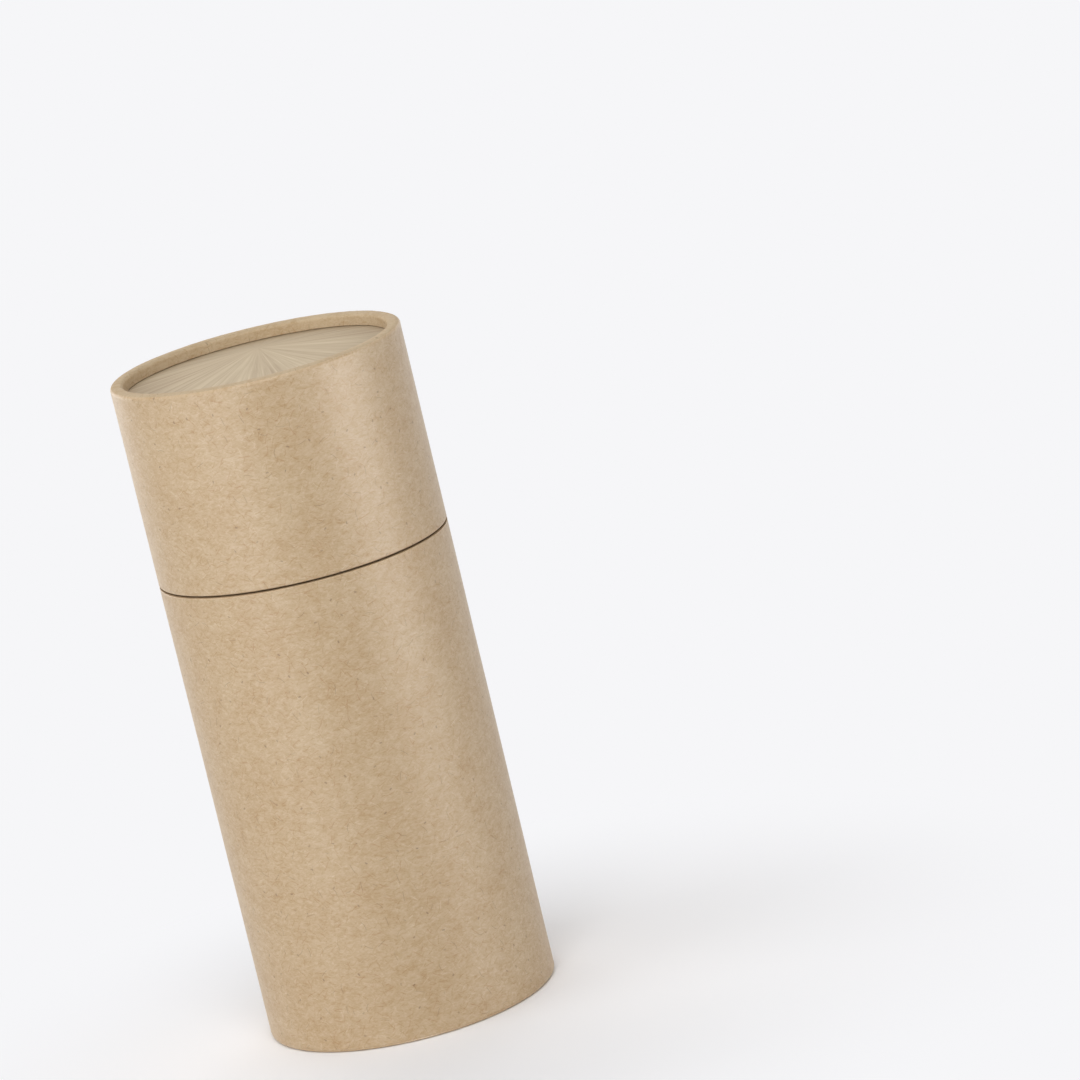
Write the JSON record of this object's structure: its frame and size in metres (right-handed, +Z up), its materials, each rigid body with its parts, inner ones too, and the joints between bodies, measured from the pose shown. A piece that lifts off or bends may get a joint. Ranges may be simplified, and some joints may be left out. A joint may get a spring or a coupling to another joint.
{
  "type": "mailing tube",
  "caption": "Round kraft paperboard mailing tube with curled rims, recessed end discs and a lift-off lid that slides on an inner neck.",
  "frame": {"origin": "centre of the base rim, on the surface that the tube stands on", "axes": "+Z up along the tube's axis, from the base rim to the lid; X and Y are any two square directions across the round tube"},
  "size_m": [0.073, 0.073, 0.1696],
  "materials": {
    "kraft_tube": "unbleached kraft paper with fine flecks, matte",
    "kraft_disc": "kraft board with faint streaks from the centre, matte",
    "neck_board": "plain wound board, matte"
  },
  "bodies": {
    "base": {"base_tube": "kraft_tube", "base_disc": "kraft_disc", "neck_sleeve": "neck_board"},
    "lid": {"lid_tube": "kraft_tube", "lid_disc": "kraft_disc"}
  },
  "joints": [
    {"name": "lid_lift", "type": "slide", "parent": "base", "child": "lid", "axis": [0, 0, 1], "range_m": [0, 0.06]}
  ]
}
